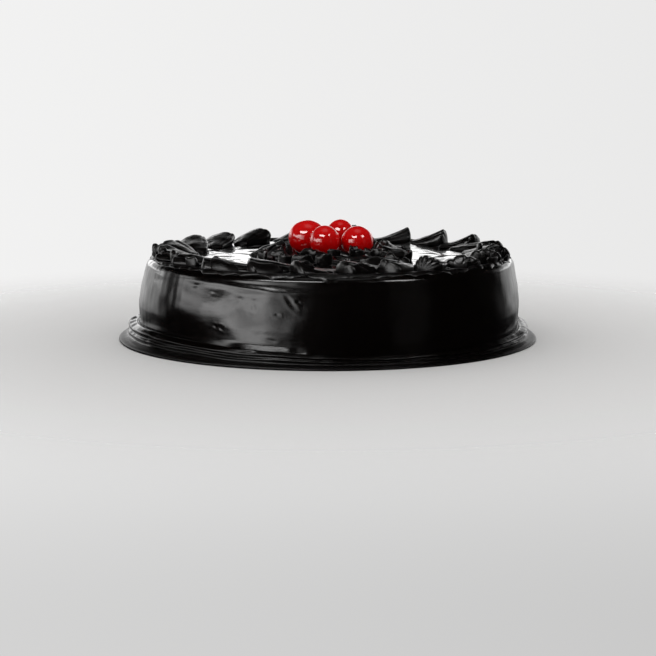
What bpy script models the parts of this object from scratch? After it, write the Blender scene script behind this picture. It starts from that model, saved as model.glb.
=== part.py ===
"""A round chocolate truffle cake: a ganache-coated body with a collar round its foot, a wreath of piped
swirls on its rim, a smaller wreath in the middle and four glazed cherries.

Metres, +Z up. The origin is the middle of the flat base, and -Y is the front.
"""

from math import atan2, cos, pi, radians, sin, sqrt
from random import Random

import bmesh
import bpy
from mathutils import Matrix, Vector

SEED = 11
GAP = 0.0003

# The body: a coated disc, a little narrower at the top than at the foot.
TOP_HEIGHT = 0.043
TOP_SHIFT = 0.0015
RIM_RADIUS = 0.0962
RIM_DROP = 0.0036
RIM_ROUND = 0.0044
WAIST_RADIUS = 0.0997
WAIST_HEIGHT = 0.019
FOOT_RADIUS = 0.0992
SIDES = 72

# The collar round the foot: a thin lip above, two ridges and a low skirt below. It sags at the front.
LIP_RADIUS = 0.1048
LIP_HEIGHT = 0.0106
RIDGE_DEPTH = 0.0008
SKIRT_RADIUS = 0.1098
SKIRT_HEIGHT = 0.0030
SAG_AZIMUTH = 150
SAG = 0.45
FRONT_TUCK = 0.33

# Waves that the hand leaves round the cake: turns, phase and depth of each.
SIDE_WAVES = ((3, 0.8, 0.0005), (5, 0.0, 0.0003))
COLLAR_WAVES = ((7, 2.0, 0.0003), (11, 0.0, 0.0002))
WREATH_WAVES = ((2, 0.6, 0.0007), (5, 0.0, 0.0005))

# The piped wreath on the rim. Azimuths are degrees clockwise from the back, seen from above.
BORDER_AZIMUTHS = (
    10, 31, 47.5, 65, 83, 100, 115, 132, 149, 163, 177,
    192, 207.5, 225.5, 240, 255, 269, 283, 300, 316, 333, 351,
)
BORDER_TAIL_RADIUS = 0.0715
BORDER_HEAD_RADIUS = 0.0885
BORDER_SWEEP = 18.5
BORDER_HALF_WIDTH = 0.0092
BORDER_HEIGHT = 0.0080
LEAF_WIDTH = 0.0026
LEAF_THICKNESS = 0.0009
LEAF_START = 0.42

# The piped wreath round the cherries.
CENTRE_AZIMUTHS = (12, 47, 79, 109, 141, 172, 203, 237, 268, 300, 334)
CENTRE_TAIL_RADIUS = 0.0425
CENTRE_HEAD_RADIUS = 0.0288
CENTRE_SWEEP = 36.0
CENTRE_HALF_WIDTH = 0.0064
CENTRE_HEIGHT = 0.0080

# Both wreaths lie a little nearer the middle at the front.
FRONT_PULL = 0.0030

# How a piped swirl runs: a thin tail, a blunt head, and the ridges that the star nozzle leaves.
STATIONS = (0.0, 0.15, 0.32, 0.50, 0.68, 0.84, 0.95, 1.0)
RIB_COUNT = 5
RIB_DEPTH = 0.17
TAIL_WIDTH = 0.40
TAIL_HEIGHT = 0.17
HEAD_START = 0.88
WIDEST = 0.80
SWELL = 1.25
FULLNESS = 0.8
BLUNT_START = 0.86
BLUNT_LENGTH = 0.155
UNEVEN_HEIGHT = 0.10
END_MARGIN = 0.12
NEIGHBOUR_GAP = 0.0006

# The cherries: the dimple that each has, then its middle, half width and height.
DIMPLE_EDGE = 0.90
DIMPLE_DEPTH = 0.16
DIMPLE_TILT = radians(75)
CHERRIES = {
    "cherry_left": ((-0.0106, 0.0030), 0.0102, 0.0182),
    "cherry_front": ((-0.0014, -0.0130), 0.0079, 0.0168),
    "cherry_right": ((0.0155, -0.0085), 0.0086, 0.0160),
    "cherry_back": ((0.0068, 0.0108), 0.0080, 0.0179),
}


def clear_scene():
    for thing in list(bpy.data.objects):
        bpy.data.objects.remove(thing, do_unlink=True)


def finish(name, colour, roughness, coat):
    """A plain material with this linear colour."""
    material = bpy.data.materials.new(name)
    material.use_nodes = True
    shader = material.node_tree.nodes["Principled BSDF"]
    shader.inputs["Base Color"].default_value = (*colour, 1.0)
    shader.inputs["Roughness"].default_value = roughness
    shader.inputs["Metallic"].default_value = 0.0
    shader.inputs["Coat Weight"].default_value = coat
    return material


def solid(name, form, material, collection):
    """Turn a bmesh into one named, smooth-shaded object."""
    mesh = bpy.data.meshes.new(name)
    form.to_mesh(mesh)
    form.free()
    mesh.shade_smooth()
    mesh.set_sharp_from_angle(angle=radians(40))
    mesh.materials.append(material)
    thing = bpy.data.objects.new(name, mesh)
    collection.objects.link(thing)
    return thing


def rim_arc(steps):
    """The rounded edge between the flat top and the side."""
    points = []
    for k in range(steps + 1):
        angle = pi / 2 * k / steps
        radius = RIM_RADIUS - RIM_ROUND * (1 - sin(angle))
        height = TOP_HEIGHT - RIM_DROP * (1 - cos(angle))
        points.append((radius, height))
    return points


def side_curve(steps):
    """The side between the rim and the crease behind the lip, as (radius, height) points."""
    top = TOP_HEIGHT - RIM_DROP
    crease = LIP_HEIGHT - 2 * RIDGE_DEPTH
    points = []
    for k in range(1, steps + 1):
        height = top + (crease - top) * k / steps
        if height > WAIST_HEIGHT:
            lean = (top - height) / (top - WAIST_HEIGHT)
            radius = RIM_RADIUS + (WAIST_RADIUS - RIM_RADIUS) * sin(pi / 2 * lean)
        else:
            lean = (WAIST_HEIGHT - height) / (WAIST_HEIGHT - crease)
            radius = WAIST_RADIUS + (FOOT_RADIUS - WAIST_RADIUS) * lean
        points.append((radius, height))
    return points


def collar_curve():
    """The lip, the ridges under it and the skirt, down to the base."""
    ledge = (LIP_HEIGHT - SKIRT_HEIGHT) / 5
    return [
        (FOOT_RADIUS + 0.0022, LIP_HEIGHT),
        (LIP_RADIUS - 0.0012, LIP_HEIGHT - 0.6 * ledge),
        (LIP_RADIUS, LIP_HEIGHT - 1.6 * ledge),
        (LIP_RADIUS - RIDGE_DEPTH, LIP_HEIGHT - 2.5 * ledge),
        (LIP_RADIUS + 0.3 * RIDGE_DEPTH, LIP_HEIGHT - 3.4 * ledge),
        (LIP_RADIUS - 0.4 * RIDGE_DEPTH, LIP_HEIGHT - 4.3 * ledge),
        (LIP_RADIUS + 0.8 * RIDGE_DEPTH, SKIRT_HEIGHT),
        (SKIRT_RADIUS - 0.0018, SKIRT_HEIGHT * 0.82),
        (SKIRT_RADIUS - 0.0003, SKIRT_HEIGHT * 0.54),
        (SKIRT_RADIUS, SKIRT_HEIGHT * 0.25),
        (SKIRT_RADIUS - 0.0006, 0.0),
        (0.0, 0.0),
    ]


def body_profile():
    """The half outline of the cake, from the middle of the top to the middle of the base."""
    top = [(0.0, TOP_HEIGHT), (RIM_RADIUS / 2, TOP_HEIGHT)]
    return top + rim_arc(4) + side_curve(6) + collar_curve()


def waves(terms, azimuth):
    """The sum of these waves at an azimuth in radians."""
    return sum(depth * sin(turns * azimuth + phase) for turns, phase, depth in terms)


def spread_by_hand(radius, azimuth, height):
    """Where a point of the turned profile goes on the uneven, hand-spread cake."""
    share = min(1.0, max(0.0, (height - LIP_HEIGHT) / (TOP_HEIGHT - LIP_HEIGHT)))
    lump = waves(COLLAR_WAVES, azimuth) * min(1.0, height / SKIRT_HEIGHT)
    out = waves(SIDE_WAVES, azimuth) * share + lump * (1 - share)
    if radius > FOOT_RADIUS and height <= LIP_HEIGHT:
        out -= (radius - FOOT_RADIUS) * FRONT_TUCK * cos(azimuth) ** 2
    sag = SAG * max(0.0, cos(azimuth - radians(SAG_AZIMUTH))) ** 1.5
    drop = sag * min(height, LIP_HEIGHT) * (1 - share)
    return radius + out, height - drop


def cake_body(material, collection):
    """Turn the profile about Z, then make it as uneven as a hand-spread coating."""
    outline = bmesh.new()
    points = [outline.verts.new((radius, 0.0, height)) for radius, height in body_profile()]
    for start, end in zip(points, points[1:]):
        outline.edges.new((start, end))
    mesh = bpy.data.meshes.new("cake_outline")
    outline.to_mesh(mesh)
    outline.free()
    turned = bpy.data.objects.new("cake_outline", mesh)
    collection.objects.link(turned)
    screw = turned.modifiers.new("turn", "SCREW")
    screw.steps = SIDES
    screw.render_steps = SIDES
    screw.use_merge_vertices = True
    screw.merge_threshold = 0.00005
    graph = bpy.context.evaluated_depsgraph_get()
    round_mesh = bpy.data.meshes.new_from_object(turned.evaluated_get(graph))
    bpy.data.objects.remove(turned, do_unlink=True)
    form = bmesh.new()
    form.from_mesh(round_mesh)
    for vert in form.verts:
        radius = vert.co.xy.length
        if radius > RIM_RADIUS * 0.6:
            azimuth = atan2(vert.co.x, vert.co.y)
            new_radius, height = spread_by_hand(radius, azimuth, vert.co.z)
            vert.co.xy *= new_radius / radius
            vert.co.z = height
            vert.co.x += TOP_SHIFT * height / TOP_HEIGHT
    return solid("cake_body", form, material, collection)


class Wreath:
    """A ring of piped swirls whose heads lead clockwise, each beside the tail of the next."""

    def __init__(self, azimuths, tail_radius, head_radius, sweep, half_width, height, leaf):
        self.azimuths = [radians(a) for a in azimuths]
        self.tail_radius = tail_radius
        self.head_radius = head_radius
        self.sweep = radians(sweep)
        self.half_width = half_width
        self.height = height
        self.leaf = leaf

    def path(self, head, s):
        """The plan point at s, from 0 at the tail to 1 at the head's end."""
        radius = self.tail_radius + (self.head_radius - self.tail_radius) * s
        azimuth = head - self.sweep * (1 - s)
        radius += waves(WREATH_WAVES, azimuth)
        radius -= FRONT_PULL * max(0.0, -cos(azimuth))
        return Vector((TOP_SHIFT + radius * sin(azimuth), radius * cos(azimuth), 0.0))

    def width(self, s):
        """The half width that a swirl has where nothing is beside it."""
        if s < 0 or s > 1:
            return 0.0
        swell = sin(pi / 2 * min(1.0, s / WIDEST)) ** SWELL
        return self.half_width * (TAIL_WIDTH + (1 - TAIL_WIDTH) * swell) * blunt_end(s)

    def lead(self, pitch):
        """How far along, as a share of a swirl's length, a neighbour at this pitch lies."""
        radius = (self.tail_radius + self.head_radius) / 2
        tangent = radius * self.sweep
        length = sqrt(tangent**2 + (self.head_radius - self.tail_radius) ** 2)
        return radius * pitch * tangent / length**2

    def room(self, head, s, pitch, ahead):
        """The half width at s up to the neighbour, which is that pitch ahead or behind."""
        beside = s + self.lead(pitch) * (-1 if ahead else 1)
        if beside < -END_MARGIN or beside > 1 + END_MARGIN:
            return self.width(s)
        other = self.width(min(1.0, max(0.0, beside)))
        radius = self.path(head, s).length
        slope = abs(self.head_radius - self.tail_radius)
        spacing = radius * pitch * slope / sqrt(slope**2 + (radius * self.sweep) ** 2)
        share = self.width(s) / (self.width(s) + other)
        return min(self.width(s), (spacing - NEIGHBOUR_GAP) * share)

    def leaf_edge(self, s, pitch):
        """How far the thin leaf beside a head stands out, clear of the swirl behind."""
        start = max(LEAF_START, 1 + END_MARGIN - self.lead(pitch))
        share = min(1.0, max(0.0, (s - start) / (1 - start)))
        return self.leaf * sin(pi * share) ** 0.7

    def ring(self, index, s, lift):
        """The section at s: a flat base, and ridges over the top of it."""
        count = len(self.azimuths)
        head = self.azimuths[index]
        pitch_ahead = (self.azimuths[(index + 1) % count] - head) % (2 * pi)
        pitch_behind = (head - self.azimuths[index - 1]) % (2 * pi)
        ahead = self.room(head, s, pitch_ahead, True)
        behind = self.room(head, s, pitch_behind, False)
        outward = self.head_radius > self.tail_radius
        right, left = (ahead, behind) if outward else (behind, ahead)
        along = (self.path(head, s + 0.01) - self.path(head, s - 0.01)).normalized()
        side = Vector((along.y, -along.x, 0.0))
        base = self.path(head, s) + Vector((0.0, 0.0, TOP_HEIGHT + GAP))
        rise = TAIL_HEIGHT + (1 - TAIL_HEIGHT) * min(1.0, s / HEAD_START) ** SWELL
        height = self.height * lift * rise * blunt_end(s)
        points = []
        for k in range(2 * RIB_COUNT + 1):
            angle = pi * k / (2 * RIB_COUNT)
            reach = 1 if k % 2 else 1 - RIB_DEPTH
            out = cos(angle) * (right if cos(angle) > 0 else left) * reach
            up = sin(angle) ** FULLNESS * height * reach
            points.append(base + side * out + Vector((0.0, 0.0, up)))
        edge = left * (1 - RIB_DEPTH) + self.leaf_edge(s, pitch_behind)
        points[0].z = points[-1].z = base.z
        points[-1] = base - side * edge
        points.insert(-1, points[-1] + Vector((0.0, 0.0, min(LEAF_THICKNESS, height * 0.3))))
        return points

    def swirl(self, name, index, material, collection):
        """Loft the sections into one closed swirl."""
        lift = 1 + UNEVEN_HEIGHT * Random(SEED * 100 + index).uniform(-1, 1)
        form = bmesh.new()
        rings = []
        for s in STATIONS:
            rings.append([form.verts.new(p) for p in self.ring(index, s, lift)])
        for near, far in zip(rings, rings[1:]):
            for k in range(len(near)):
                form.faces.new((near[k], near[k - 1], far[k - 1], far[k]))
        form.faces.new(rings[0])
        form.faces.new(list(reversed(rings[-1])))
        form.normal_update()
        bmesh.ops.triangulate(form, faces=form.faces)
        return solid(name, form, material, collection)


def blunt_end(s):
    """Round the last stretch of a head, leaving its end blunt."""
    over = min(1.0, max(0.0, (s - BLUNT_START) / BLUNT_LENGTH))
    return sqrt(1 - over * over)


def cherry(name, middle, half_width, height, material, collection):
    """A slightly squashed ball, with the dimple where its stalk was on the far side."""
    form = bmesh.new()
    bmesh.ops.create_uvsphere(form, u_segments=18, v_segments=10, radius=1.0)
    for vert in form.verts:
        if vert.co.z > DIMPLE_EDGE:
            vert.co.z -= DIMPLE_DEPTH * (vert.co.z - DIMPLE_EDGE) / (1 - DIMPLE_EDGE)
    bmesh.ops.rotate(form, verts=form.verts, matrix=Matrix.Rotation(-DIMPLE_TILT, 3, "X"))
    bmesh.ops.scale(form, verts=form.verts, vec=(half_width, half_width, height / 2))
    foot = TOP_HEIGHT + GAP + height / 2
    bmesh.ops.translate(form, verts=form.verts, vec=(middle[0], middle[1], foot))
    return solid(name, form, material, collection)


def build():
    clear_scene()
    collection = bpy.data.collections.new("chocolate_truffle_cake")
    bpy.context.scene.collection.children.link(collection)
    ganache = finish("dark_ganache", (0.0100, 0.0055, 0.0042), 0.25, 0.6)
    cream = finish("piped_truffle_cream", (0.0130, 0.0078, 0.0062), 0.38, 0.3)
    red = finish("glazed_cherry", (0.42, 0.004, 0.006), 0.12, 1.0)
    cake_body(ganache, collection)
    border = Wreath(
        BORDER_AZIMUTHS, BORDER_TAIL_RADIUS, BORDER_HEAD_RADIUS, BORDER_SWEEP,
        BORDER_HALF_WIDTH, BORDER_HEIGHT, LEAF_WIDTH,
    )
    for index in range(len(BORDER_AZIMUTHS)):
        border.swirl(f"border_swirl_{index + 1:02d}", index, cream, collection)
    centre = Wreath(
        CENTRE_AZIMUTHS, CENTRE_TAIL_RADIUS, CENTRE_HEAD_RADIUS, CENTRE_SWEEP,
        CENTRE_HALF_WIDTH, CENTRE_HEIGHT, 0.0,
    )
    for index in range(len(CENTRE_AZIMUTHS)):
        centre.swirl(f"centre_swirl_{index + 1:02d}", index, cream, collection)
    for name, (middle, half_width, height) in CHERRIES.items():
        cherry(name, middle, half_width, height, red, collection)


build()
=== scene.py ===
"""The looks of a round chocolate truffle cake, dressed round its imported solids.

Metres, +Z up. -Y is the front. Azimuths are degrees clockwise from the back, seen from above.
"""

from math import atan2, cos, degrees, exp, pi, radians, sin, sqrt
from random import Random

import bmesh
import bpy
from mathutils import Matrix, Vector, noise


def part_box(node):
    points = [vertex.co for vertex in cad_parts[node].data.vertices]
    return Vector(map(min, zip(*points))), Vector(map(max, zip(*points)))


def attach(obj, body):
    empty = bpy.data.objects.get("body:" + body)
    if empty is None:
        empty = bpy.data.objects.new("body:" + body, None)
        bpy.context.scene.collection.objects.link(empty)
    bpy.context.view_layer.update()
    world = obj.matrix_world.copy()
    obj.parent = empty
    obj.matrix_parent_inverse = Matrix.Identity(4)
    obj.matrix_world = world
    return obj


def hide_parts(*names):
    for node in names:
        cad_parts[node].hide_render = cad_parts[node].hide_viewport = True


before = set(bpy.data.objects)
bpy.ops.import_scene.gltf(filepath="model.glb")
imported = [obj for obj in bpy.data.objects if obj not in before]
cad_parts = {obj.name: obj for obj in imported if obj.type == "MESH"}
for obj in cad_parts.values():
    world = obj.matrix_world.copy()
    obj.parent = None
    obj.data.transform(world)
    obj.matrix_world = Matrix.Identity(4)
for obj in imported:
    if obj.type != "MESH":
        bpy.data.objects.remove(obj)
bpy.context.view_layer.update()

SEED = 11
# Points nearer than this are merged, and heights and radii nearer than a hair count as the same.
MERGE = 0.000002
HAIR = 0.0001

# The coated body, as its solid has it.
TOP_HEIGHT = 0.043
TOP_SHIFT = 0.0015
RIM_RADIUS = 0.0962
RIM_DROP = 0.0036
RIM_ROUND = 0.0044
WAIST_RADIUS = 0.0997
WAIST_HEIGHT = 0.019
FOOT_RADIUS = 0.0992
LIP_RADIUS = 0.1048
LIP_HEIGHT = 0.0106
RIDGE_DEPTH = 0.0008
SKIRT_RADIUS = 0.1098
SKIRT_HEIGHT = 0.0030
SAG_AZIMUTH = 150
SAG = 0.45
FRONT_TUCK = 0.33
SIDE_WAVES = ((3, 0.8, 0.0005), (5, 0.0, 0.0003))
COLLAR_WAVES = ((7, 2.0, 0.0003), (11, 0.0, 0.0002))
WREATH_WAVES = ((2, 0.6, 0.0007), (5, 0.0, 0.0005))
FRONT_PULL = 0.0030

# The coat's mesh: its steps round, then from the middle of the top down to the foot.
COAT_STEPS = 560
MIDDLE_STEPS = 14
MIDDLE_RADIUS = 0.045
TOP_STEPS = 58
RIM_STEPS = 10
SIDE_STEPS = 58
COLLAR_SMOOTHING = 3
# It is uneven from this radius outwards, and the side's relief fades over this height at the lip.
SPREAD_RADIUS = RIM_RADIUS * 0.6
SIDE_FADE = 0.002

# Bumps that change with the height: how far apart they lie round the cake and up it, how deep
# they are, and the noise's offset.
SLABS = (0.026, 0.034, 0.00062, 3.7)
HOLLOWS = (0.010, 0.007, 0.00020, 9.1)
STREAKS = (0.0034, 0.034, 0.00010, 5.3)
COLLAR_LUMPS = (0.0060, 0.003, 0.0005, 2.2)
COLLAR_SWELLS = (0.022, 0.003, 0.0008, 8.2)

# Changes round the cake alone: how far apart they lie, the noise's two offsets and its strength.
BEAD_WANDER = (0.012, 0.4, 1.9, 0.0006)
BEAD_UNEVEN = (0.020, 0.9, 6.4, 0.4)
FLARE_UNEVEN = (0.024, 0.1, 7.7, 0.15)
RIDGE_DRIFT = (0.03, 0.0, 4.0, 4.0)
RIDGE_UNEVEN = (0.015, 0.0, 6.0, 1.0)

# Where the spatula dragged streaks down the side: azimuth, how wide, how strong.
DRAGS = ((252, 24, 1.0), (96, 18, 0.6), (20, 60, 0.5))
DRAG_LEAST = 0.22

# The bead of ganache under the rim.
BEAD_HEIGHT = 0.0386
BEAD_SAGS = ((189, 19, 0.0030),)
BEAD_DEPTH = 0.00040
BEAD_WIDTH = 0.0016
BEAD_SWELLS = ((204, 24, 0.75),)
BEAD_LEAST = 0.30

# The slope at the side's foot. At the front it rises and ends between these azimuths.
FLARE_DEPTH = 0.0021
FLARE_HEIGHT = 0.0131
FLARE_LENGTH = 0.0041
FLARE_LEAST = 0.12
FLARE_FRONT = 0.85
FLARE_START = (187.0, 193.0)
FLARE_END = (211.0, 203.0)
FLARE_SPOTS = ((186, 1.6, 0.6), (154, 4, 0.45))

# The collar, lumpiest at one azimuth, and how much of each relief goes upwards.
COLLAR_EDGE = 0.003
LUMPY_AZIMUTH = 277
LUMPY_SPREAD = 0.30
LUMPS_LEAST = 0.35
LUMPS_UP = 0.8
SWELLS_UP = 0.6
FINE_RIDGE_DEPTH = 0.00018
FINE_RIDGE_STEP = 0.00042
FINE_RIDGE_LEAST = 0.7

# The flat top. Its swell and ripples: how far apart, offset and depth.
TOP_SWELL = (0.024, 2.6, 0.00007)
TOP_RIPPLES = (0.013, 7.1, 0.0006)
RIPPLES_START = (0.036, 0.044)
RIPPLES_END = (0.084, 0.078)
GROOVE_DEPTH = 0.000035
GROOVE_STEP = 0.0042
GROOVE_CHANGE = 1.2
GROOVE_START = (0.012, 0.030)
# Rings that the spatula left on the turning top: radius, height, where it is thickest.
RINGS = ((0.0545, 0.00010, 250), (0.0600, 0.00007, 60), (0.0655, 0.00012, 290), (0.0640, 0.00009, 120))
RING_WIDTH = 0.0009
RING_REACH = 0.004
RING_LEAST = 0.3
RING_DRIFT = 0.0009

# Dents in the side: azimuth, height, half length, half width, slant in degrees, depth.
DENTS = (
    (190.8, 0.0318, 0.0040, 0.0013, 45, 0.00024),
    (188.9, 0.0322, 0.0010, 0.0009, 0, 0.00030),
    (211.0, 0.0184, 0.0015, 0.0010, 60, 0.00020),
    (213.2, 0.0190, 0.0011, 0.0010, 0, 0.00017),
    (220.4, 0.0160, 0.0013, 0.0010, 20, 0.00014),
    (221.8, 0.0362, 0.0018, 0.0009, -20, 0.00011),
    (215.0, 0.0332, 0.0014, 0.0008, 30, 0.00009),
    (206.5, 0.0300, 0.0019, 0.0009, -70, 0.00018),
    (201.4, 0.0290, 0.0021, 0.0009, 80, 0.00016),
    (194.4, 0.0264, 0.0011, 0.0009, 0, 0.00022),
    (196.0, 0.0150, 0.0030, 0.0010, 5, 0.00008),
    (171.0, 0.0270, 0.0022, 0.0011, 15, 0.00020),
    (128.0, 0.0210, 0.0025, 0.0012, -35, 0.00030),
    (95.0, 0.0300, 0.0020, 0.0012, 50, 0.00030),
    (38.0, 0.0240, 0.0028, 0.0013, -50, 0.00035),
    (356.0, 0.0300, 0.0026, 0.0012, 30, 0.00030),
    (331.0, 0.0200, 0.0016, 0.0012, 0, 0.00035),
    (298.0, 0.0310, 0.0024, 0.0010, 70, 0.00030),
)
DENT_REACH = 0.012
# A dent's hollow and raised edge, measured in the dent's own half sizes.
HOLLOW_SPREAD = 0.85
EDGE_AWAY = 1.3
EDGE_SPREAD = 0.5
EDGE_SHARE = 0.45

# The piped wreaths, as their solids have them.
BORDER = (
    (10, "tent"), (31, "tent"), (47.5, "tent"), (65, "tent"), (83, "heap"), (100, "heap"),
    (115, "lump"), (132, "low"), (149, "flute"), (163, "slab"), (177, "slab"), (192, "late"),
    (207.5, "slab"), (225.5, "slab"), (240, "low"), (255, "low"), (269, "low"), (283, "lump"),
    (300, "dome"), (316, "dome"), (333, "dome"), (351, "tent"),
)
CENTRE = (
    (12, "dome"), (47, "tent"), (79, "lump"), (109, "curl"), (141, "curl"), (172, "curl"),
    (203, "curl"), (237, "curl"), (268, "curl"), (300, "curl"), (334, "curl"),
)
# Each wreath's radius at the tails and at the heads, sweep in degrees, half width and height.
BORDER_RING = (0.0715, 0.0885, 18.5, 0.0092, 0.0080)
CENTRE_RING = (0.0425, 0.0288, 36.0, 0.0064, 0.0080)
# How each kind stands: how full its outer and inner flanks are, how many ridges it has and how
# deep they are, how late it rises, how high it is against its solid, where its tail starts, how
# lumpy it is, how short its blunt end is and how far it leans outwards.
KINDS = {
    "tent": (0.80, 0.95, 4, 0.06, 1.70, 1.00, 0.25, 0.0004, 0.060, 0.00),
    "slab": (1.10, 1.00, 3, 0.07, 1.10, 0.88, -0.03, 0.0007, 0.045, 0.05),
    "late": (1.10, 1.00, 3, 0.07, 2.60, 0.88, 0.10, 0.0006, 0.045, 0.05),
    "low": (0.80, 0.90, 3, 0.10, 1.00, 0.74, -0.03, 0.0010, 0.090, 0.00),
    "dome": (1.15, 0.55, 3, 0.06, 0.95, 0.98, -0.03, 0.0004, 0.080, -0.25),
    "flute": (0.60, 0.80, 7, 0.14, 1.10, 0.98, -0.03, 0.0003, 0.130, 0.10),
    "lump": (0.70, 0.85, 3, 0.08, 1.00, 0.88, -0.03, 0.0007, 0.080, 0.05),
    "heap": (0.95, 0.80, 3, 0.07, 1.10, 0.94, -0.03, 0.0006, 0.060, -0.15),
    "curl": (0.60, 0.90, 4, 0.10, 1.20, 0.78, -0.03, 0.0010, 0.080, 0.10),
}
# A swirl's shape along its length, which runs from 0 at the tail to 1 at the head.
TAIL_WIDTH = 0.40
TAIL_HEIGHT = 0.17
TAIL_TAPER = 0.14
HEAD_START = 0.94
WIDEST = 0.80
SWELL = 1.25
BLUNT_START = 0.90
BLUNT_LENGTH = 0.115
END_MARGIN = 0.12
NEIGHBOUR_GAP = 0.0006
# Its mesh: steps round and along, how they crowd at the head, and how many go to its upper side.
ROUND_STEPS = 80
LONG_STEPS = 60
HEAD_CROWDING = 1.35
ROOF_SHARE = 0.86
# How far its underside sinks into the coat, how narrow its grooves are, and how swirls differ.
SUNK = 0.0006
GROOVE_WIDTH = 0.15
UNEVEN_HEIGHT = 0.10
UNEVEN_TWIST = 0.6
UNEVEN_LEAN = 0.12
UNEVEN_RIDGES = 0.8
# Lumps and crumbs on it, which fade out towards the coat.
LUMP_SIZE = 0.0085
CRUMB_SIZE = 0.0024
CRUMB_DEPTH = 0.00008
FADE_HEIGHT = 0.004

# Thin leaves along the wreath's outer foot.
LEAF_STEPS = (40, 14)
LEAF_LAYERS = 2
LEAF_BEHIND = 4
LEAF_SPACING = 8
LEAF_STRAY = 2
LEAF_HALF_LENGTHS = (0.0090, 0.0140)
LEAF_HALF_WIDTHS = (0.0016, 0.0024)
LEAF_DROOPS = (0.0, 0.0005)
LEAF_RADIUS = 0.0912
LEAF_LAYER_OUT = 0.0014
LEAF_RADIUS_STRAY = 0.0005
LEAF_EDGE = RIM_RADIUS - 0.0003
LEAF_LIFT = 0.0003
LEAF_THICKNESS = 0.0008
LEAF_LEAST_DROOP = 0.0003
# The waves of its edge: how many, how often its seed shifts them, depth.
LEAF_WAVES = ((7, 1, 0.0005), (15, 2, 0.0003))
# How much narrower and thinner it gets towards its leading end.
LEAF_NARROWING = 0.45
LEAF_THINNING = 0.4

# Curled ribbons and flakes: place across and towards the back, foot's height, azimuth that the
# hollow side faces, length, height, bend in degrees, thickness, fall of its upper edge and tilt in
# degrees towards the hollow side. All lengths are in millimetres.
RIBBONS = (
    (-21.6, -50.5, 42.9, 20, 10, 6.0, 170, 2.0, 0.0, 0),
    (-12.5, -62.0, 42.9, 10, 11, 7.4, 60, 2.6, 0.1, 10),
    (-1.2, -50.5, 42.9, 350, 12, 6.0, 190, 2.0, 0.0, 0),
    (6.8, -56.5, 42.9, 60, 5, 3.6, 130, 1.8, 0.0, 0),
    (10.5, -66.0, 42.9, 290, 6, 5.6, 80, 2.0, 0.0, 15),
    (22.0, -60.0, 42.9, 0, 12, 5.8, 45, 2.2, 0.1, 20),
    (31.0, -53.0, 42.9, 35, 9, 6.2, 90, 2.8, 0.0, 10),
    (37.5, -45.0, 42.9, 120, 11, 3.8, 60, 1.8, 0.2, 0),
    (34.0, -37.0, 45.5, 160, 10, 4.2, 90, 2.0, 0.0, 0),
    (42.5, -22.0, 42.9, 250, 14, 5.0, 290, 1.8, 0.0, 0),
    (40.5, 6.5, 42.9, 160, 7, 4.8, 150, 1.8, 0.0, 0),
    (13.2, -18.5, 44.5, 170, 6, 5.5, 200, 2.0, 0.0, 0),
    (-9.5, -36.0, 46.2, 185, 9, 4.0, 110, 2.0, 0.0, 0),
    (3.0, -37.0, 46.4, 10, 8, 3.8, 150, 2.0, 0.0, 0),
    (14.0, -36.5, 46.2, 150, 9, 4.0, 100, 2.0, 0.0, 0),
    (25.0, -33.0, 46.0, 200, 8, 4.2, 140, 2.0, 0.0, 0),
    (-24.0, -38.0, 45.8, 215, 10, 4.0, 90, 2.0, 0.0, 0),
    (-32.0, -31.0, 44.0, 240, 9, 4.6, 120, 2.0, 0.0, 0),
    (-32.5, -15.0, 44.0, 280, 7, 4.2, 160, 2.0, 0.0, 0),
    (-30.5, 3.0, 44.0, 290, 7, 3.6, 110, 2.0, 0.0, 0),
    # Flakes that lean on the front of the rim's wreath.
    (-50.0, -76.5, 42.6, 25, 15, 8.0, 25, 2.4, 0.50, 24),
    (-29.5, -85.5, 42.2, 15, 18, 7.6, 25, 2.4, 0.50, 24),
    (-11.0, -84.0, 42.6, 5, 10, 7.0, 30, 2.8, 0.20, 20),
    (17.0, -86.0, 42.4, 355, 12, 6.4, 30, 2.6, 0.30, 22),
    (31.5, -79.0, 42.6, 345, 9, 6.6, 70, 3.2, 0.10, 14),
    # Knobs at the left end of the wreath.
    (-88.0, -14.0, 42.6, 100, 6, 6.8, 70, 4.4, 0.0, 0),
    (-84.0, -27.0, 42.6, 90, 6, 7.6, 70, 4.6, 0.0, 0),
    (-76.5, -42.0, 42.6, 60, 8, 7.4, 60, 4.6, 0.1, 8),
    (-67.0, -57.0, 42.6, 40, 9, 6.6, 50, 3.6, 0.3, 12),
    (-90.5, 1.0, 42.6, 90, 5, 6.0, 70, 4.0, 0.0, 0),
    # Small folds at its right end.
    (79.0, -14.0, 46.5, 270, 8, 4.4, 90, 2.4, 0.0, 0),
    (84.0, -26.0, 44.5, 290, 8, 4.8, 80, 2.4, 0.2, 0),
    (91.0, -12.0, 43.0, 270, 7, 5.6, 80, 2.4, 0.2, 0),
    (91.5, -25.0, 42.4, 280, 9, 4.4, 60, 2.0, 0.4, 0),
    (83.0, -42.0, 42.4, 310, 9, 4.8, 80, 2.4, 0.2, 0),
    (72.0, -56.0, 42.6, 325, 10, 4.6, 60, 2.4, 0.3, 10),
)
RIBBON_STEPS = (40, 22)
# How square its upper edge and its ends are: 1 is round, and 0 square.
ROUND_UPWARDS = 0.6
ROUND_ALONG = 0.8
# How its upper edge waves and drops towards the ends, and how far it opens upwards.
EDGE_WAVE = 0.10
EDGE_WAVE_TURNS = 5
EDGE_DROP = 0.12
OPENING = 0.10
# How it wanders, in millimetres.
WANDER_SIZE = 3.5
WANDER_DEPTH = 0.5

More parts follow.
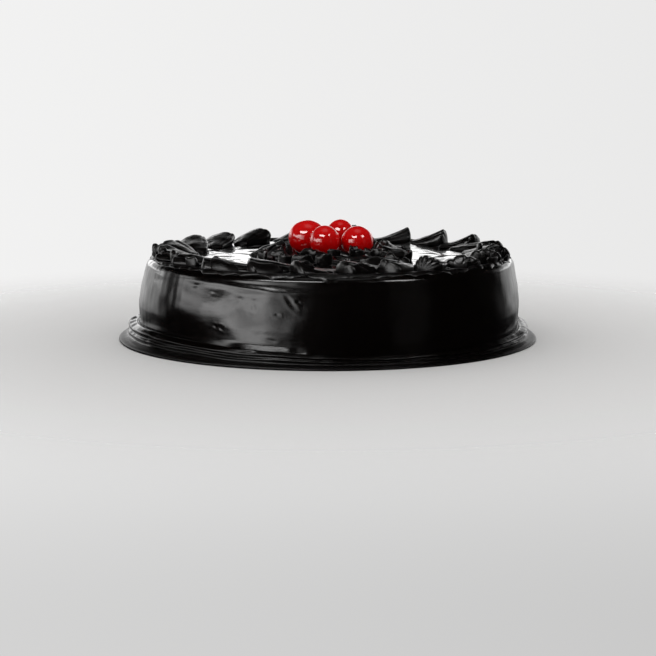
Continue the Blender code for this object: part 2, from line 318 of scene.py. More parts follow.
# The cherries: how uneven each is, and the dip where its stalk was.
CHERRIES = ("cherry_left", "cherry_front", "cherry_right", "cherry_back")
CHERRY_STEPS = (96, 64)
CHERRY_BROAD = (1.3, 0.022)
CHERRY_SMALL = (4.2, 0.006)
STALK_TILT = -75
STALK = Vector((0.0, 0.9659, 0.2588))
STALK_DIP = 0.16
STALK_SPREAD = 0.36

# Colours, each a darker and a lighter one.
GANACHE_COLOURS = ((0.0007, 0.0004, 0.0003), (0.0024, 0.0013, 0.0010))
CREAM_COLOURS = ((0.0010, 0.0006, 0.0005), (0.0034, 0.0021, 0.0017))
CHERRY_COLOURS = ((0.50, 0.0005, 0.0010), (0.78, 0.0012, 0.0018))
PAPER_COLOURS = ((0.665, 0.66, 0.655), (0.685, 0.68, 0.675))

# Panels of light: the azimuths that each lies between and how soft those edges are, its
# elevations and how soft those edges are, and its strength.
PANELS = (
    # A side window.
    (-102.0, -78.0, 5.0, 4.0, 15.0, 4.0, 2.6),
    # The main lamp and the small one.
    (-52.0, -9.0, 3.0, 38.0, 50.0, 1.5, 9.5),
    (36.0, 60.0, 2.0, 39.0, 49.0, 1.5, 7.5),
    # A dim door.
    (38.0, 60.0, 6.0, -30.0, 30.0, 4.0, 0.045),
)

FLOOR_RADIUS = 0.7
FLOOR_FADE = (0.125, 0.36)

# The photograph's view.
SENSOR = 36.0
LENS = 87.8
CAMERA_PLACE = (0.000266, -0.83965, 0.13224)
CAMERA_DROP = 8.667


def clamp(value):
    return min(1.0, max(0.0, value))


def ease(low, high, value):
    """0 up to low, 1 from high on, and smooth between. Low may be the greater one."""
    t = clamp((value - low) / (high - low))
    return t * t * (3 - 2 * t)


def waves(terms, azimuth):
    """The sum of these waves at an azimuth in radians."""
    return sum(depth * sin(turns * azimuth + phase) for turns, phase, depth in terms)


def hump(value, middle, spread):
    """A smooth bump of 1 at the middle."""
    return exp(-(((value - middle) / spread) ** 2))


def humps(terms, value, least=0.0):
    """The sum of these smooth bumps, above the least."""
    return sum((strength * hump(value, middle, spread) for middle, spread, strength in terms), least)


# Meshes.


def keep(form, name, material, nodes=()):
    """Make a piece of a bmesh, riding on the cake and standing for these nodes."""
    mesh = bpy.data.meshes.new(name)
    form.to_mesh(mesh)
    form.free()
    mesh.shade_smooth()
    mesh.materials.append(material)
    piece = bpy.data.objects.new(name, mesh)
    bpy.context.scene.collection.objects.link(piece)
    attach(piece, "root")
    if nodes:
        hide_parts(*nodes)
    return piece


def sheet_form(across, along):
    """A flat grid whose x and y both run from 0 to 1."""
    form = bmesh.new()
    bmesh.ops.create_grid(form, x_segments=across, y_segments=along, size=0.5)
    bmesh.ops.translate(form, verts=form.verts, vec=(0.5, 0.5, 0.0))
    return form


def face_outwards(form):
    """Turn every face outwards, once the normals fit the points as they now lie."""
    form.normal_update()
    bmesh.ops.recalc_face_normals(form, faces=form.faces)


def close(form):
    """Merge the seam and the ends of a rolled grid, and face it outwards."""
    bmesh.ops.remove_doubles(form, verts=form.verts, dist=MERGE)
    face_outwards(form)


def ball_form(around, rings):
    """A unit ball, rolled from a sheet. Its faces come in the same order each run."""
    form = sheet_form(around, rings)
    for vert in form.verts:
        turn, polar = 2 * pi * vert.co.x, pi * vert.co.y
        vert.co = (sin(polar) * cos(turn), sin(polar) * sin(turn), cos(polar))
    close(form)
    return form


# The coat.


def smooth_line(points, steps):
    """A curve through these points."""
    line = []
    ends = [points[0]] + list(points) + [points[-1]]
    for a, b, c, d in zip(ends, ends[1:], ends[2:], ends[3:]):
        for k in range(steps):
            t = k / steps
            line.append(tuple(
                0.5 * (2 * q + (r - p) * t + (2 * p - 5 * q + 4 * r - s) * t * t
                       + (3 * q - p - 3 * r + s) * t ** 3)
                for p, q, r, s in zip(a, b, c, d)
            ))
    line.append(tuple(points[-1]))
    return line


def rim_arc(steps):
    """From the edge of the flat top, over the rounded rim."""
    points = []
    for k in range(steps + 1):
        angle = pi / 2 * k / steps
        radius = RIM_RADIUS - RIM_ROUND * (1 - sin(angle))
        points.append((radius, TOP_HEIGHT - RIM_DROP * (1 - cos(angle))))
    return points


def side_curve(steps):
    """From the rim, out to the waist and in again to the crease above the collar."""
    top = TOP_HEIGHT - RIM_DROP
    crease = LIP_HEIGHT - 2 * RIDGE_DEPTH
    points = []
    for k in range(1, steps + 1):
        height = top + (crease - top) * k / steps
        if height > WAIST_HEIGHT:
            lean = (top - height) / (top - WAIST_HEIGHT)
            radius = RIM_RADIUS + (WAIST_RADIUS - RIM_RADIUS) * sin(pi / 2 * lean)
        else:
            lean = (WAIST_HEIGHT - height) / (WAIST_HEIGHT - crease)
            radius = WAIST_RADIUS + (FOOT_RADIUS - WAIST_RADIUS) * lean
        points.append((radius, height))
    return points


def collar_curve():
    """The lip, the ridges under it and the skirt, down to the base."""
    ledge = (LIP_HEIGHT - SKIRT_HEIGHT) / 5
    return [
        (FOOT_RADIUS + 0.0022, LIP_HEIGHT),
        (LIP_RADIUS - 0.0012, LIP_HEIGHT - 0.6 * ledge),
        (LIP_RADIUS, LIP_HEIGHT - 1.6 * ledge),
        (LIP_RADIUS - RIDGE_DEPTH, LIP_HEIGHT - 2.5 * ledge),
        (LIP_RADIUS + 0.3 * RIDGE_DEPTH, LIP_HEIGHT - 3.4 * ledge),
        (LIP_RADIUS - 0.4 * RIDGE_DEPTH, LIP_HEIGHT - 4.3 * ledge),
        (LIP_RADIUS + 0.8 * RIDGE_DEPTH, SKIRT_HEIGHT),
        (SKIRT_RADIUS - 0.0018, SKIRT_HEIGHT * 0.82),
        (SKIRT_RADIUS - 0.0003, SKIRT_HEIGHT * 0.54),
        (SKIRT_RADIUS, SKIRT_HEIGHT * 0.25),
        (SKIRT_RADIUS - 0.0006, 0.0),
    ]


def coat_line():
    """The coat's half outline, from the middle of the top to the middle of the base."""
    flat = RIM_RADIUS - RIM_ROUND
    top = [(MIDDLE_RADIUS * k / MIDDLE_STEPS, TOP_HEIGHT) for k in range(MIDDLE_STEPS)]
    band = flat - MIDDLE_RADIUS
    top += [(MIDDLE_RADIUS + band * k / TOP_STEPS, TOP_HEIGHT) for k in range(TOP_STEPS)]
    side = side_curve(SIDE_STEPS)
    collar = smooth_line([side[-1]] + collar_curve(), COLLAR_SMOOTHING)
    return top + rim_arc(RIM_STEPS) + side + collar[1:] + [(0.0, 0.0)]


def ring_noise(azimuth, radius, across, height, seed):
    """Noise on a cylinder, without a seam."""
    return noise.noise(Vector((
        radius * cos(azimuth) / across + seed,
        radius * sin(azimuth) / across,
        height,
    )))


def bumps(azimuth, radius, height, terms):
    """Noise that changes round the cake and with the height."""
    across, up, depth, seed = terms
    return ring_noise(azimuth, radius, across, height / up, seed) * depth


def uneven(azimuth, radius, terms):
    """Noise that changes round the cake alone."""
    across, level, seed, strength = terms
    return strength * ring_noise(azimuth, radius, across, level, seed)


def dent(azimuth, height, where, level, length, width, slant, depth):
    """How far one dent, with its raised edge, moves a point of the side."""
    along = RIM_RADIUS * radians((degrees(azimuth) - where + 180) % 360 - 180)
    up = height - level
    if abs(along) > DENT_REACH or abs(up) > DENT_REACH:
        return 0.0
    turn = radians(slant)
    u = (along * cos(turn) + up * sin(turn)) / length
    v = (up * cos(turn) - along * sin(turn)) / width
    away = sqrt(u * u + v * v)
    return depth * (EDGE_SHARE * hump(away, EDGE_AWAY, EDGE_SPREAD) - hump(away, 0.0, HOLLOW_SPREAD))


def side_relief(azimuth, height):
    """How far the spatula's marks push the side out."""
    turn = degrees(azimuth) % 360
    out = bumps(azimuth, RIM_RADIUS, height, SLABS)
    out += bumps(azimuth, RIM_RADIUS, height, HOLLOWS)
    out += bumps(azimuth, RIM_RADIUS, height, STREAKS) * humps(DRAGS, turn, DRAG_LEAST)
    line = BEAD_HEIGHT - humps(BEAD_SAGS, turn) + uneven(azimuth, RIM_RADIUS, BEAD_WANDER)
    thick = humps(BEAD_SWELLS, turn, BEAD_LEAST) + uneven(azimuth, RIM_RADIUS, BEAD_UNEVEN)
    out += BEAD_DEPTH * thick * hump(height, line, BEAD_WIDTH)
    return out + sum(dent(azimuth, height, *terms) for terms in DENTS)


def foot_flare(azimuth, height):
    """How far the side spreads, in a straight slope, just above the collar."""
    turn = degrees(azimuth) % 360
    flare = FLARE_LEAST + uneven(azimuth, RIM_RADIUS, FLARE_UNEVEN)
    flare += FLARE_FRONT * ease(*FLARE_START, turn) * ease(*FLARE_END, turn)
    flare += humps(FLARE_SPOTS, turn)
    return FLARE_DEPTH * flare * clamp((FLARE_HEIGHT - height) / FLARE_LENGTH)


def flat_noise(x, y, terms):
    """Noise on the flat top."""
    across, seed, depth = terms
    return noise.noise(Vector((x / across, y / across, seed))) * depth


def top_relief(azimuth, radius):
    """How far the flat top rises and falls: a soft swell, ripples, fine grooves and faint rings."""
    x, y = radius * sin(azimuth), radius * cos(azimuth)
    rise = flat_noise(x, y, TOP_SWELL)
    rise += flat_noise(x, y, TOP_RIPPLES) * ease(*RIPPLES_START, radius) * ease(*RIPPLES_END, radius)
    for middle, height, where in RINGS:
        if abs(radius - middle) < RING_REACH:
            strength = max(0.0, RING_LEAST + cos(azimuth - radians(where)))
            drift = RING_DRIFT * sin(2 * azimuth + 40 * middle)
            rise += height * strength * hump(radius, middle + drift, RING_WIDTH)
    groove = noise.noise(Vector((
        radius / GROOVE_STEP, GROOVE_CHANGE * cos(azimuth), GROOVE_CHANGE * sin(azimuth),
    )))
    return rise + groove * GROOVE_DEPTH * ease(*GROOVE_START, radius)


def collar_relief(azimuth, radius, height):
    """Lumps and fine ridges on the lip and the skirt, as (out, up)."""
    share = clamp((radius - FOOT_RADIUS) / COLLAR_EDGE) * clamp(height / SKIRT_HEIGHT - 0.6)
    lumpy = LUMPS_LEAST + hump(azimuth % (2 * pi), radians(LUMPY_AZIMUTH), LUMPY_SPREAD)
    lump = bumps(azimuth, LIP_RADIUS, height, COLLAR_LUMPS) * lumpy
    swell = bumps(azimuth, LIP_RADIUS, height, COLLAR_SWELLS)
    ridge = FINE_RIDGE_DEPTH * sin(height / FINE_RIDGE_STEP + uneven(azimuth, LIP_RADIUS, RIDGE_DRIFT))
    ridge *= FINE_RIDGE_LEAST + uneven(azimuth, LIP_RADIUS, RIDGE_UNEVEN)
    return (lump + swell + ridge) * share, (LUMPS_UP * lump + SWELLS_UP * swell) * share


def spread_by_hand(radius, azimuth, height):
    """Where a point of the turned line goes on the uneven, hand-spread cake."""
    share = clamp((height - LIP_HEIGHT) / (TOP_HEIGHT - LIP_HEIGHT))
    lump = waves(COLLAR_WAVES, azimuth) * min(1.0, height / SKIRT_HEIGHT)
    out = waves(SIDE_WAVES, azimuth) * share + lump * (1 - share)
    if radius > FOOT_RADIUS and height <= LIP_HEIGHT:
        out -= (radius - FOOT_RADIUS) * FRONT_TUCK * cos(azimuth) ** 2
    sag = SAG * max(0.0, cos(azimuth - radians(SAG_AZIMUTH))) ** 1.5
    drop = sag * min(height, LIP_HEIGHT) * (1 - share)
    return radius + out, height - drop


def coat_point(co):
    """Where a point of the plain turned coat ends up."""
    radius = co.xy.length
    if radius < HAIR:
        return co.copy()
    azimuth = atan2(co.x, co.y)
    new_radius, height = radius, co.z
    if radius > SPREAD_RADIUS:
        new_radius, height = spread_by_hand(radius, azimuth, co.z)
    if co.z > TOP_HEIGHT - 2 * HAIR:
        height += top_relief(azimuth, radius)
    elif radius <= WAIST_RADIUS + HAIR and co.z > LIP_HEIGHT - SIDE_FADE:
        fade = ease(LIP_HEIGHT - SIDE_FADE, LIP_HEIGHT + SIDE_FADE, co.z)
        new_radius += side_relief(azimuth, co.z) * fade
        new_radius += foot_flare(azimuth, co.z)
    else:
        out, up = collar_relief(azimuth, radius, co.z)
        new_radius += out
        height += up
    co = Vector((co.x * new_radius / radius, co.y * new_radius / radius, height))
    co.x += TOP_SHIFT * height / TOP_HEIGHT
    return co


def ganache_coat(material):
    """Roll a sheet round the outline, then spread it by hand."""
    line = coat_line()
    form = sheet_form(COAT_STEPS, len(line) - 1)
    for vert in form.verts:
        radius, height = line[round(vert.co.y * (len(line) - 1))]
        turn = 2 * pi * vert.co.x
        vert.co = (radius * cos(turn), radius * sin(turn), height)
    close(form)
    for vert in form.verts:
        vert.co = coat_point(vert.co)
    form.normal_update()
    return keep(form, "ganache_coat", material, ["cake_body"])


# The piping.


def blunt_end(s):
    """How the width closes round the head, as a quarter circle does."""
    over = clamp((s - BLUNT_START) / BLUNT_LENGTH)
    return sqrt(1 - over * over)


class Wreath:
    """A ring of piped swirls whose heads lead clockwise, each beside the tail of the next."""

    def __init__(self, azimuths, tail_radius, head_radius, sweep, half_width, height):
        self.azimuths = [radians(a) for a in azimuths]
        self.tail_radius = tail_radius
        self.head_radius = head_radius
        self.sweep = radians(sweep)
        self.half_width = half_width
        self.height = height

    def path(self, head, s):
        """The plan point at s, from 0 at the tail to 1 at the head's end."""
        radius = self.tail_radius + (self.head_radius - self.tail_radius) * s
        azimuth = head - self.sweep * (1 - s)
        radius += waves(WREATH_WAVES, azimuth)
        radius -= FRONT_PULL * max(0.0, -cos(azimuth))
        return Vector((TOP_SHIFT + radius * sin(azimuth), radius * cos(azimuth), 0.0))

    def width(self, s):
        """Half the width at s, before the neighbours take their room."""
        swell = sin(pi / 2 * min(1.0, s / WIDEST)) ** SWELL
        return self.half_width * (TAIL_WIDTH + (1 - TAIL_WIDTH) * swell) * blunt_end(s)

    def lead(self, pitch):
        """How far along a swirl its neighbour at this pitch lies."""
        radius = (self.tail_radius + self.head_radius) / 2
        tangent = radius * self.sweep
        length = sqrt(tangent**2 + (self.head_radius - self.tail_radius) ** 2)
        return radius * pitch * tangent / length**2

    def room(self, head, s, pitch, ahead):
        """The half width at s up to the neighbour, which is that pitch ahead or behind."""
        beside = s + self.lead(pitch) * (-1 if ahead else 1)
        own = self.width(clamp(s))
        if s > 1:
            own *= blunt_end(s) / blunt_end(1.0)
        if beside < -END_MARGIN or beside > 1 + END_MARGIN:
            return own
        other = self.width(clamp(beside))
        radius = self.path(head, s).length
        slope = abs(self.head_radius - self.tail_radius)
        spacing = radius * pitch * slope / sqrt(slope**2 + (radius * self.sweep) ** 2)
        return min(own, (spacing - NEIGHBOUR_GAP) * own / (own + other))

    def spread(self, index, s):
        """The middle, direction and half widths, right and left, of a swirl at s."""
        count = len(self.azimuths)
        head = self.azimuths[index]
        pitch_ahead = (self.azimuths[(index + 1) % count] - head) % (2 * pi)
        pitch_behind = (head - self.azimuths[index - 1]) % (2 * pi)
        ahead = self.room(head, s, pitch_ahead, True)
        behind = self.room(head, s, pitch_behind, False)
        outward = self.head_radius > self.tail_radius
        right, left = (ahead, behind) if outward else (behind, ahead)
        along = (self.path(head, s + 0.01) - self.path(head, s - 0.01)).normalized()
        return self.path(head, s), along, right, left

    def section(self, index, s, first, rising, end):
        """What a swirl measures at s: its middle, its two sides' reach and its height."""
        base, along, right, left = self.spread(index, s)
        rise = TAIL_HEIGHT + (1 - TAIL_HEIGHT) * clamp((s - first) / (HEAD_START - first)) ** rising
        taper = ease(first, first + TAIL_TAPER, s)
        over = clamp((s - BLUNT_START - BLUNT_LENGTH + end) / end)
        side = Vector((along.y, -along.x, 0.0))
        return base, side, right * taper, left * taper, self.height * rise * sqrt(1 - over * over) * taper

    def swirl(self, name, index, kind, material, node):
        """Roll a sheet into one ridged swirl, flat underneath."""
        outer, inner, count, depth, rising, lift, first, lumpy, end, lean = KINDS[kind]
        if self.head_radius > self.tail_radius:
            outer, inner, lean = inner, outer, -lean
        draw = Random(SEED * 100 + index)
        lift *= 1 + UNEVEN_HEIGHT * draw.uniform(-1, 1)
        twist = draw.uniform(-UNEVEN_TWIST, UNEVEN_TWIST)
        lean += draw.uniform(-UNEVEN_LEAN, UNEVEN_LEAN)
        ribs = [draw.uniform(-UNEVEN_RIDGES, UNEVEN_RIDGES) * depth for k in range(count + 2)]
        form = sheet_form(ROUND_STEPS, LONG_STEPS)
        last = BLUNT_START + BLUNT_LENGTH
        rows = {}
        for vert in form.verts:
            turn, t = clamp(vert.co.x), vert.co.y
            s = first + (last - first) * (1 - (1 - t) ** HEAD_CROWDING)
            key = round(s, 6)
            if key not in rows:
                rows[key] = self.section(index, s, first, rising, end)
            base, side, right, left, height = rows[key]
            height *= lift
            if turn < ROOF_SHARE:
                angle = pi * turn / ROOF_SHARE
                place = count * angle / pi + twist * (s - 0.5) * sin(angle)
                crest = 1 - hump(place, round(place), GROOVE_WIDTH)
                reach = 1 - depth * (1 - crest) + ribs[int(max(0.0, place))] * crest * sin(angle)
                out = cos(angle) * reach * (right if angle < pi / 2 else left)
                up = sin(angle) ** (outer if angle < pi / 2 else inner) * height * reach
                out += lean * up
            else:
                share = (turn - ROOF_SHARE) / (1 - ROOF_SHARE)
                out = (1 - depth) * (share * right - (1 - share) * left)
                up = -min(SUNK, right + left) * sin(pi * share)
            co = base + side * out + Vector((0.0, 0.0, TOP_HEIGHT + up))
            raised = clamp((co.z - TOP_HEIGHT) / FADE_HEIGHT)
            co += noise.noise_vector(co / LUMP_SIZE) * (lumpy * raised)
            co += noise.noise_vector(co / CRUMB_SIZE) * (CRUMB_DEPTH * raised)
            vert.co = co
        close(form)
        return keep(form, name, material, [node])


def piping(material):
    """Both wreaths, each swirl for a solid of its own."""
    for place, swirls, ring in (("border", BORDER, BORDER_RING), ("centre", CENTRE, CENTRE_RING)):
        wreath = Wreath([turn for turn, kind in swirls], *ring)
        for index, (turn, kind) in enumerate(swirls):
            number = f"{index + 1:02d}"
            wreath.swirl(f"{place}_piping_{number}", index, kind, material, f"{place}_swirl_{number}")


def coat_height(radius):
    """The height of the coat near its rim."""
    bend = clamp((radius - RIM_RADIUS + RIM_ROUND) / RIM_ROUND)
    return TOP_HEIGHT - RIM_DROP * (1 - sqrt(1 - bend * bend))


def rim_leaf(name, azimuth, half_length, radius, half_width, droop, material, seed):
    """A thin lens of cream that the spatula pressed onto the rim, with a wavy outer edge."""
    form = ball_form(*LEAF_STEPS)
    for vert in form.verts:
        u, v, w = vert.co
        along = half_length * u
        wave = sum(depth * sin(turns * u + shift * seed) for turns, shift, depth in LEAF_WAVES)
        reach = radius + half_width * v * (1 - LEAF_NARROWING * u) + (wave if v > 0 else 0.0)
        turn = radians(azimuth) - along / radius
        height = coat_height(min(reach, LEAF_EDGE)) + LEAF_LIFT
        height += LEAF_THICKNESS * w * (1 - LEAF_THINNING * u)
        height -= (LEAF_LEAST_DROOP + droop) * max(0.0, v) ** 2
        vert.co = (TOP_SHIFT * height / TOP_HEIGHT + reach * sin(turn), reach * cos(turn), height)
    face_outwards(form)
    return keep(form, name, material)


def rim_leaves(material):
    """Two layers of thin leaves along the outer foot of the wreath on the rim."""
    for index, (turn, kind) in enumerate(BORDER):
        draw = Random(SEED * 50 + index)
        for layer in range(LEAF_LAYERS):
            name = f"rim_leaf_{LEAF_LAYERS * index + layer + 1:02d}"
            azimuth = turn - LEAF_BEHIND - LEAF_SPACING * layer + draw.uniform(-LEAF_STRAY, LEAF_STRAY)
            half_length = draw.uniform(*LEAF_HALF_LENGTHS)
            stray = draw.uniform(-LEAF_RADIUS_STRAY, LEAF_RADIUS_STRAY)
            radius = LEAF_RADIUS + LEAF_LAYER_OUT * layer + stray
            half_width = draw.uniform(*LEAF_HALF_WIDTHS)
            droop = draw.uniform(*LEAF_DROOPS)
            seed = index * 1.3 + layer
            rim_leaf(name, azimuth, half_length, radius, half_width, droop, material, seed)


def rounded(value, power):
    """A number from -1 to 1, pushed outwards by a power under 1."""
    return (1 if value > 0 else -1) * abs(value) ** power


def ribbon(name, terms, material, seed):
    """A rounded ribbon of cream that stands on its edge, curled round its hollow side."""
    across, back, foot, facing, length, height, bend, thickness, fall, tilt = terms
    form = ball_form(*RIBBON_STEPS)
    radius = length / radians(bend)
    spin = Matrix.Rotation(radians(-facing), 3, "Z")
    lean = Matrix.Rotation(radians(-tilt), 3, "X")
    for vert in form.verts:
        u, w, v = vert.co
        up = 0.5 + 0.5 * rounded(v, ROUND_UPWARDS)
        angle = radians(bend) * rounded(u, ROUND_ALONG) / 2
        wave = EDGE_WAVE * sin(EDGE_WAVE_TURNS * u + seed) * up
        edge = 1 - wave - EDGE_DROP * u * u - fall * (1 + u) / 2
        ring = radius * (1 + OPENING * up * up) + w * thickness / 2
        co = Vector((ring * sin(angle), radius - ring * cos(angle), up * height * edge))
        co = spin @ (lean @ co) + Vector((across, back, foot))
        co += noise.noise_vector(co / WANDER_SIZE) * (WANDER_DEPTH * up)
        vert.co = co / 1000
    face_outwards(form)
    return keep(form, name, material)


def ribbons(material):
    """Every curled ribbon, flake and knob."""
    for index, terms in enumerate(RIBBONS):
        ribbon(f"curled_ribbon_{index + 1:02d}", terms, material, index * 1.9)


# The cherries.


def glazed_cherry(node, material):
    """An uneven, glossy cherry in its solid's place."""
    low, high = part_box(node)
    middle = (low + high) / 2
    size = (high - low) / 2
    form = ball_form(*CHERRY_STEPS)
    bmesh.ops.rotate(form, verts=form.verts, matrix=Matrix.Rotation(radians(STALK_TILT), 3, "X"))
    offset = Vector((len(node) * 1.7, low.x * 90, low.y * 70))
    for vert in form.verts:
        unit = vert.co.normalized()
        broad, small = (
            noise.noise(unit * often + offset) * depth for often, depth in (CHERRY_BROAD, CHERRY_SMALL)
        )
        dip = STALK_DIP * hump((unit - STALK).length, 0.0, STALK_SPREAD)
        vert.co = unit * (1 + broad + small - dip)
    bmesh.ops.scale(form, verts=form.verts, vec=(size.x, size.x, size.z))
    bmesh.ops.translate(form, verts=form.verts, vec=middle)
    return keep(form, "glazed_" + node, material, [node])


# Materials.


class Val:
    """A node's output that takes part in arithmetic."""

    def __init__(self, maker, socket):
        self.maker = maker
        self.socket = socket

    def math(self, operation, *values):
        """A Math node on these values."""
        return self.maker.node("ShaderNodeMath", {"operation": operation}, values).value()

    def __add__(self, other):
        return self.math("ADD", self, other)

    def __sub__(self, other):
        return self.math("SUBTRACT", self, other)

    def __mul__(self, other):
        return self.math("MULTIPLY", self, other)

    def __rsub__(self, other):
        return self.math("SUBTRACT", other, self)

    def __pow__(self, other):
        return self.math("POWER", self, other)

    __radd__ = __add__
    __rmul__ = __mul__


class Made:
    """A node that was just made."""

    def __init__(self, maker, node):
        self.maker = maker
        self.inner = node

    def value(self, name=0):
        """One of its outputs."""
        return Val(self.maker, self.inner.outputs[name])


class Maker:
    """Builds the nodes of one material or world."""

    def __init__(self, tree):
        self.tree = tree

    def node(self, kind, settings=None, sockets=()):
        """A node of this kind. Its settings come first, then its sockets' values or links."""
        made = self.tree.nodes.new(kind)
        for key, value in (settings or {}).items():
            setattr(made, key, value)
        self.feed(made, dict(sockets) if isinstance(sockets, dict) else dict(enumerate(sockets)))
        return Made(self, made)

    def feed(self, made, sockets):
        """Link or set these sockets."""
        for key, value in sockets.items():
            if isinstance(value, Val):
                self.tree.links.new(value.socket, made.inputs[key])
            else:
                made.inputs[key].default_value = value

    def ramp(self, value, low, high, to_low=0.0, to_high=1.0):
        """Maps low to high smoothly onto these two numbers."""
        return self.node("ShaderNodeMapRange", {"interpolation_type": "SMOOTHSTEP"}, {
            "Value": value, "From Min": low, "From Max": high, "To Min": to_low, "To Max": to_high,
        }).value("Result")

    def span(self, value, low, high, soft):
        """1 between low and high, with soft edges."""
        rising = self.ramp(value, low - soft, low + soft)
        return rising * self.ramp(value, high - soft, high + soft, 1.0, 0.0)

    def blend(self, share, colours):
        """A colour between these two."""
        first, second = colours
        sockets = {0: share, 6: (*first, 1.0), 7: (*second, 1.0)}
        return self.node("ShaderNodeMix", {"data_type": "RGBA"}, sockets).value(2)

    def noise(self, place, scale, detail=3.0, roughness=0.5, distortion=0.0):
        return self.node("ShaderNodeTexNoise", {"noise_dimensions": "3D"}, {
            "Vector": place, "Scale": scale, "Detail": detail, "Roughness": roughness,
            "Distortion": distortion,
        }).value("Fac")

    def place(self):
        """Object coordinates."""
        return self.node("ShaderNodeTexCoord").value("Object")

    def place_in_sky(self):
        """The direction that a point of the surroundings lies in."""
        return self.node("ShaderNodeTexCoord").value("Generated")

    def stretched(self, place, scale):
        return self.node("ShaderNodeMapping", {}, {"Vector": place, "Scale": scale}).value("Vector")

    def split(self, place):
        """The three coordinates of a place."""
        apart = self.node("ShaderNodeSeparateXYZ", {}, {"Vector": place})
        return apart.value("X"), apart.value("Y"), apart.value("Z")

    def bump(self, height, distance, strength=1.0):
        return self.node("ShaderNodeBump", {}, {
            "Height": height, "Distance": distance, "Strength": strength,
        }).value("Normal")


def finish(name):
    """A new material, its maker and its Principled shader."""
    material = bpy.data.materials.new(name)
    material.use_nodes = True
    maker = Maker(material.node_tree)
    shader = material.node_tree.nodes["Principled BSDF"]
    return material, maker, shader


def ganache_finish():
    """Dark, glossy ganache: smooth on top, smeared by the spatula on the side, matt on the skirt."""
    material, maker, shader = finish("smooth_dark_ganache")
    place = maker.place()
    across, depth, height = maker.split(place)
    flat = maker.ramp(height, 0.0405, 0.0424)
    broad = maker.noise(place, 32.0, 3.0)
    cloud = maker.noise(place, 110.0, 4.0, 0.55)
    strokes = maker.noise(maker.stretched(place, (1.0, 1.0, 0.16)), 260.0, 3.0, 0.6)
    smears = maker.noise(maker.stretched(place, (0.6, 0.6, 1.5)), 300.0, 4.0, 0.6)
    grain = maker.noise(place, 1500.0, 2.0)
    skirt_rough = maker.ramp(height, 0.0022, 0.0040, 0.14, 0.0)
    collar_rough = maker.ramp(height, 0.0060, 0.0100, 0.04, 0.0)
    side_rough = 0.08 + broad * 0.10 + smears * 0.05 + cloud * 0.08 + skirt_rough + collar_rough
    top_rough = 0.08 + broad * 0.08
    ends = maker.ramp(across * across, 0.0030, 0.0075)
    marks = strokes * 0.45 * ends + smears * 0.60 * (1.0 - ends) + cloud * 0.9
    maker.feed(shader, {
        "Base Color": maker.blend(broad * 0.6 + cloud * 0.4, GANACHE_COLOURS),
        "Roughness": side_rough * (1.0 - flat) + top_rough * flat,
        "Specular IOR Level": 0.3,
        "Coat Weight": maker.ramp(height, 0.0095, 0.0120, 0.0, 0.55) + flat * 0.10,
        "Coat Roughness": 0.08,
        "Normal": maker.bump(marks * (1.0 - flat) + grain * 0.05, 0.0003, 0.55),
    })
    return material


def cream_finish():
    """Dark truffle cream: satin, a little rough where the nozzle dragged it."""
    material, maker, shader = finish("satin_truffle_cream")
    place = maker.place()
    broad = maker.noise(place, 60.0, 3.0)
    crumbly = maker.noise(place, 700.0, 4.0, 0.6)
    maker.feed(shader, {
        "Base Color": maker.blend(broad, CREAM_COLOURS),
        "Roughness": 0.20 + broad * 0.14 + crumbly * 0.08,
        "Specular IOR Level": 0.4,
        "Coat Weight": 0.15,
        "Coat Roughness": 0.12,
        "Normal": maker.bump(crumbly, 0.00018, 0.7),
    })
    return material


def cherry_finish():
    """A candied cherry: deep red flesh under a clear wet glaze."""
    material, maker, shader = finish("clear_glazed_cherry")
    place = maker.place()
    veins = maker.noise(place, 180.0, 4.0, 0.55, 0.6)
    patch = maker.noise(place, 75.0, 2.0)
    maker.feed(shader, {
        "Base Color": maker.blend(patch * 0.7 + veins * 0.3, CHERRY_COLOURS),
        "Roughness": 0.30 + veins * 0.10,
        "Specular IOR Level": 0.05,
        "Subsurface Weight": 0.25,
        "Subsurface Radius": (0.0030, 0.0006, 0.0004),
        "Subsurface Scale": 1.0,
        "Coat Weight": 1.0,
        "Coat Roughness": 0.02,
        "Coat IOR": 1.8,
        "Normal": maker.bump(veins, 0.0002, 0.25),
    })
    return material


# The studio.


def back_wall(maker, azimuth, elevation, x):
    """A pale wall behind the cake: dim at its foot, bright above it and dim again higher up."""
    behind = maker.ramp(azimuth, -127.0, -109.0, 1.0, 0.0) + maker.ramp(azimuth, 122.0, 134.0)
    wall = behind * maker.span(elevation, -7.0, 20.0, 5.0) * maker.ramp(elevation, 3.4, 5.4, 0.80, 2.20)
    return wall * maker.ramp(elevation, 9.5, 13.5, 1.0, 0.38) * maker.ramp(x, -0.3, 0.3, 1.0, 0.85)


def tall_window(maker, azimuth, elevation):
    """A window on the left with a slanting edge, which fades to the right, behind thin cloth."""
    foot = maker.ramp(azimuth, -78.0, -50.0, 4.0, -13.0)
    top = maker.ramp(azimuth, -76.0, -56.0, 13.0, 22.0)
    cloth = maker.noise(maker.place_in_sky(), 5.0, 3.0)
    window = maker.span(azimuth - elevation * 0.22, -80.0, -22.0, 4.0)
    window = window * maker.span(elevation, -20.0, top, 3.0)
    window = window * maker.ramp(elevation - foot, -6.0, 4.0)
    window = window * maker.ramp(azimuth, -44.0, -20.0, 1.0, 0.25)
    return window * maker.ramp(cloth, 0.36, 0.64, 0.62, 1.2)


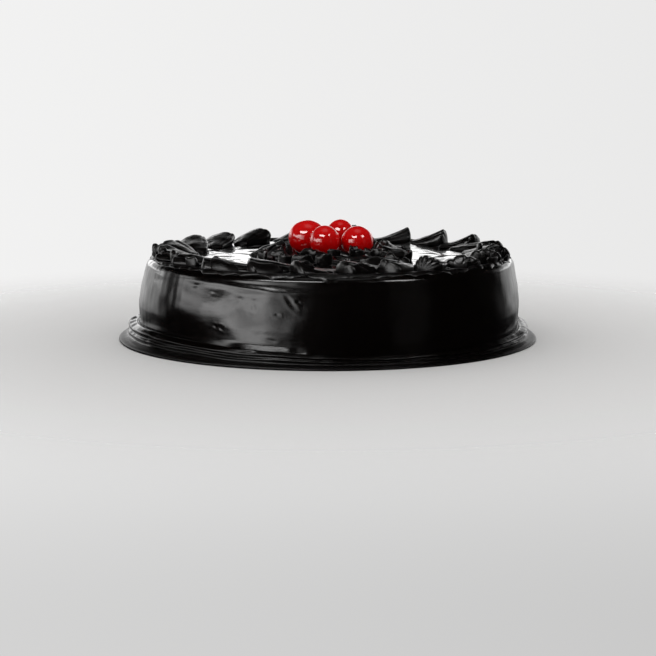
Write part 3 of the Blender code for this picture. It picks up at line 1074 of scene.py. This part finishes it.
def studio_light():
    """What the gloss mirrors, an even fill for matt surfaces, and a pale backdrop to look at."""
    world = bpy.data.worlds.new("studio")
    world.use_nodes = True
    world.cycles.sampling_method = "NONE"
    bpy.context.scene.world = world
    maker = Maker(world.node_tree)
    x, y, z = maker.split(maker.place_in_sky())
    azimuth = x.math("ARCTAN2", x, y * -1.0) * (180 / pi)
    elevation = z.math("ARCSINE", z) * (180 / pi)
    shine = back_wall(maker, azimuth, elevation, x) + tall_window(maker, azimuth, elevation) * 3.5
    for left, right, soft_sides, low, high, soft_ends, strength in PANELS:
        panel = maker.span(azimuth, left, right, soft_sides) * maker.span(elevation, low, high, soft_ends)
        shine = shine + panel * strength
    ceiling = maker.ramp(elevation, 66.0, 84.0)
    shine = shine + ceiling * 0.32 + 0.003
    fill = 0.60 + z * 0.50 - x * 0.12
    backdrop = maker.ramp(elevation, -19.0, -6.5, 0.62, 0.853) - x * 0.16
    ray = maker.node("ShaderNodeLightPath")
    seen = ray.value("Is Camera Ray")
    soft = ray.value("Is Diffuse Ray")
    total = backdrop * seen + (1.0 - seen) * (fill * soft + shine * (1.0 - soft))
    background = world.node_tree.nodes["Background"]
    maker.feed(background, {"Color": (1.0, 0.998, 0.995, 1.0), "Strength": total})


def floor_finish():
    """Pale, matt paper that fades into the backdrop away from the cake."""
    material, maker, shader = finish("pale_paper")
    place = maker.place()
    maker.feed(shader, {
        "Base Color": maker.blend(maker.noise(place, 420.0, 3.0), PAPER_COLOURS),
        "Roughness": 0.85,
        "Specular IOR Level": 0.1,
    })
    x, y, z = maker.split(place)
    away = (x * x + y * y) ** 0.5
    clear = maker.node("ShaderNodeBsdfTransparent").value("BSDF")
    paper = Val(maker, shader.outputs["BSDF"])
    faded = maker.node("ShaderNodeMixShader", {}, (maker.ramp(away, *FLOOR_FADE), paper, clear)).value(0)
    maker.feed(maker.tree.nodes["Material Output"], {"Surface": faded})
    return material


def floor(material):
    """The sheet of paper that the cake stands on."""
    form = bmesh.new()
    bmesh.ops.create_circle(form, cap_ends=True, segments=96, radius=FLOOR_RADIUS)
    bmesh.ops.recalc_face_normals(form, faces=form.faces)
    mesh = bpy.data.meshes.new("paper_floor")
    form.to_mesh(mesh)
    form.free()
    mesh.materials.append(material)
    sheet = bpy.data.objects.new("paper_floor", mesh)
    bpy.context.scene.collection.objects.link(sheet)
    sheet.visible_glossy = False


def camera():
    """The photograph's view, from just above the cake's top."""
    data = bpy.data.cameras.new("camera")
    data.sensor_width = SENSOR
    data.lens = LENS
    view = bpy.data.objects.new("camera", data)
    view.location = CAMERA_PLACE
    view.rotation_euler = (radians(90 - CAMERA_DROP), 0.0, 0.0)
    bpy.context.scene.collection.objects.link(view)
    bpy.context.scene.camera = view


# Without a seed, the vector noise shifts with the time of day.
noise.seed_set(SEED)

ganache_coat(ganache_finish())
cream = cream_finish()
piping(cream)
rim_leaves(cream)
ribbons(cream)
red = cherry_finish()
for node in CHERRIES:
    glazed_cherry(node, red)
studio_light()
floor(floor_finish())
camera()
bpy.context.scene.view_settings.view_transform = "Standard"
